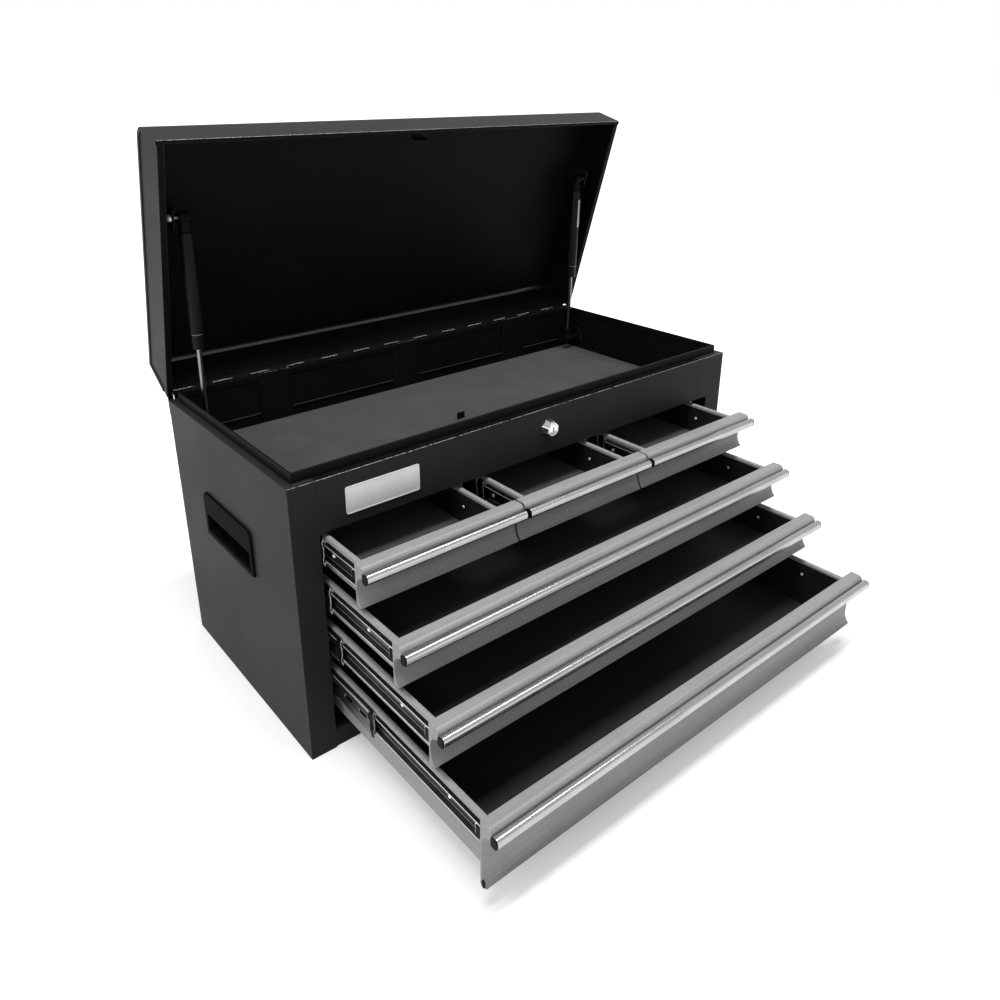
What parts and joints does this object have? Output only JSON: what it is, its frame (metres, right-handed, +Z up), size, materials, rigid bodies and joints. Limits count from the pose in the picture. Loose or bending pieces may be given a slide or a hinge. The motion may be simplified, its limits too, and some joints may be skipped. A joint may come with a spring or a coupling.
{
  "type": "tool chest",
  "caption": "Sheet steel tool chest with a matted top tray under a strut-held lid, rows of drawers on ball bearing slides and side handles.",
  "frame": {"origin": "centre of the cabinet's underside", "axes": "+Z up, drawers open towards -Y, +X to the right of a person facing the drawers"},
  "size_m": [0.671, 0.6144, 0.629],
  "materials": {
    "black_paint": "satin powder coat",
    "silver_paint": "satin metallic powder coat",
    "zinc": "bright zinc plate",
    "chrome": "polished",
    "aluminium": "bright anodised",
    "black_plastic": "moulded",
    "foam": "ribbed foam sheet"
  },
  "bodies": {
    "cabinet": {"side_left": "black_paint", "side_right": "black_paint", "back_panel": "black_paint", "base_pan": "black_paint", "top_rail": "black_paint", "slide_panels": "black_paint", "tray": "black_paint", "tray_mat": "foam", "side_handles": "black_plastic", "badge_plate": "aluminium", "lock_housing": "chrome", "cabinet_slide_members": "zinc", "hinge_cabinet_leaf": "zinc", "hinge_pin": "zinc", "cabinet_ball_studs": "zinc"},
    "lid": {"lid_shell": "black_paint", "hinge_lid_leaf": "zinc", "lid_catch": "black_paint", "lid_ball_studs": "zinc"},
    "lock": {"lock_plug": "zinc"},
    "cylinders": {"strut_cylinders": "black_paint", "strut_upper_sockets": "black_plastic"},
    "rods": {"strut_rods": "chrome", "strut_lower_sockets": "black_plastic"},
    "top_left_drawer": {"drawer_top_left": "silver_paint", "pull_top_left": "aluminium", "pull_caps_top_left": "black_plastic", "liner_top_left": "foam", "drawer_slides_top_left": "zinc"},
    "top_left_middles": {"middle_slides_top_left": "zinc"},
    "top_middle_drawer": {"drawer_top_middle": "silver_paint", "pull_top_middle": "aluminium", "pull_caps_top_middle": "black_plastic", "liner_top_middle": "foam", "drawer_slides_top_middle": "zinc"},
    "top_middle_middles": {"middle_slides_top_middle": "zinc"},
    "top_right_drawer": {"drawer_top_right": "silver_paint", "pull_top_right": "aluminium", "pull_caps_top_right": "black_plastic", "liner_top_right": "foam", "drawer_slides_top_right": "zinc"},
    "top_right_middles": {"middle_slides_top_right": "zinc"},
    "second_drawer": {"drawer_second": "silver_paint", "pull_second": "aluminium", "pull_caps_second": "black_plastic", "liner_second": "foam", "drawer_slides_second": "zinc"},
    "second_middles": {"middle_slides_second": "zinc"},
    "third_drawer": {"drawer_third": "silver_paint", "pull_third": "aluminium", "pull_caps_third": "black_plastic", "liner_third": "foam", "drawer_slides_third": "zinc"},
    "third_middles": {"middle_slides_third": "zinc"},
    "bottom_drawer": {"drawer_bottom": "silver_paint", "pull_bottom": "aluminium", "pull_caps_bottom": "black_plastic", "liner_bottom": "foam", "drawer_slides_bottom": "zinc"},
    "bottom_middles": {"middle_slides_bottom": "zinc"}
  },
  "joints": [
    {"name": "lid_hinge", "type": "hinge", "parent": "cabinet", "child": "lid", "pos_m": [0, 0.1569, 0.3253], "axis": [1, 0, 0], "range_deg": [0, 73.5]},
    {"name": "strut_pivots", "type": "hinge", "parent": "lid", "child": "cylinders", "pos_m": [0, 0.11304, 0.53498], "axis": [1, 0, 0], "range_deg": [-3.7, 0.1]},
    {"name": "strut_rods_slide", "type": "slide", "parent": "cylinders", "child": "rods", "axis": [0, -0.0317, 0.9995], "range_m": [-0.0001, 0.0642]},
    {"name": "lock_turn", "type": "hinge", "parent": "cabinet", "child": "lock", "pos_m": [0, -0.1525, 0.294], "axis": [0, 1, 0], "range_deg": [0, 90]},
    {"name": "top_left_slide", "type": "slide", "parent": "cabinet", "child": "top_left_drawer", "axis": [0, -1, 0], "range_m": [-0.0685, 0.1965]},
    {"name": "top_left_middles_slide", "type": "slide", "parent": "cabinet", "child": "top_left_middles", "axis": [0, -1, 0], "range_m": [-0.00764, 0.02172]},
    {"name": "top_middle_slide", "type": "slide", "parent": "cabinet", "child": "top_middle_drawer", "axis": [0, -1, 0], "range_m": [-0.0685, 0.1965]},
    {"name": "top_middle_middles_slide", "type": "slide", "parent": "cabinet", "child": "top_middle_middles", "axis": [0, -1, 0], "range_m": [-0.00764, 0.02172]},
    {"name": "top_right_slide", "type": "slide", "parent": "cabinet", "child": "top_right_drawer", "axis": [0, -1, 0], "range_m": [-0.0685, 0.1965]},
    {"name": "top_right_middles_slide", "type": "slide", "parent": "cabinet", "child": "top_right_middles", "axis": [0, -1, 0], "range_m": [-0.00764, 0.02172]},
    {"name": "second_slide", "type": "slide", "parent": "cabinet", "child": "second_drawer", "axis": [0, -1, 0], "range_m": [-0.12771, 0.13729]},
    {"name": "second_middles_slide", "type": "slide", "parent": "cabinet", "child": "second_middles", "axis": [0, -1, 0], "range_m": [-0.01415, 0.0152]},
    {"name": "third_slide", "type": "slide", "parent": "cabinet", "child": "third_drawer", "axis": [0, -1, 0], "range_m": [-0.18071, 0.08429]},
    {"name": "third_middles_slide", "type": "slide", "parent": "cabinet", "child": "third_middles", "axis": [0, -1, 0], "range_m": [-0.02992, 0.01401]},
    {"name": "bottom_slide", "type": "slide", "parent": "cabinet", "child": "bottom_drawer", "axis": [0, -1, 0], "range_m": [-0.25199, 0.01301]},
    {"name": "bottom_middles_slide", "type": "slide", "parent": "cabinet", "child": "bottom_middles", "axis": [0, -1, 0], "range_m": [-0.08578, 0.00452]}
  ],
  "couplings": [
    {"joint": "strut_pivots", "follows": "lid_hinge", "ratio": -0.049454},
    {"joint": "strut_rods_slide", "follows": "lid_hinge", "m_per_rad": 0.049909},
    {"joint": "top_left_middles_slide", "follows": "top_left_slide", "ratio": 0.11},
    {"joint": "top_middle_middles_slide", "follows": "top_middle_slide", "ratio": 0.11},
    {"joint": "top_right_middles_slide", "follows": "top_right_slide", "ratio": 0.11},
    {"joint": "second_middles_slide", "follows": "second_slide", "ratio": 0.11},
    {"joint": "third_middles_slide", "follows": "third_slide", "ratio": 0.165},
    {"joint": "bottom_middles_slide", "follows": "bottom_slide", "ratio": 0.34}
  ]
}
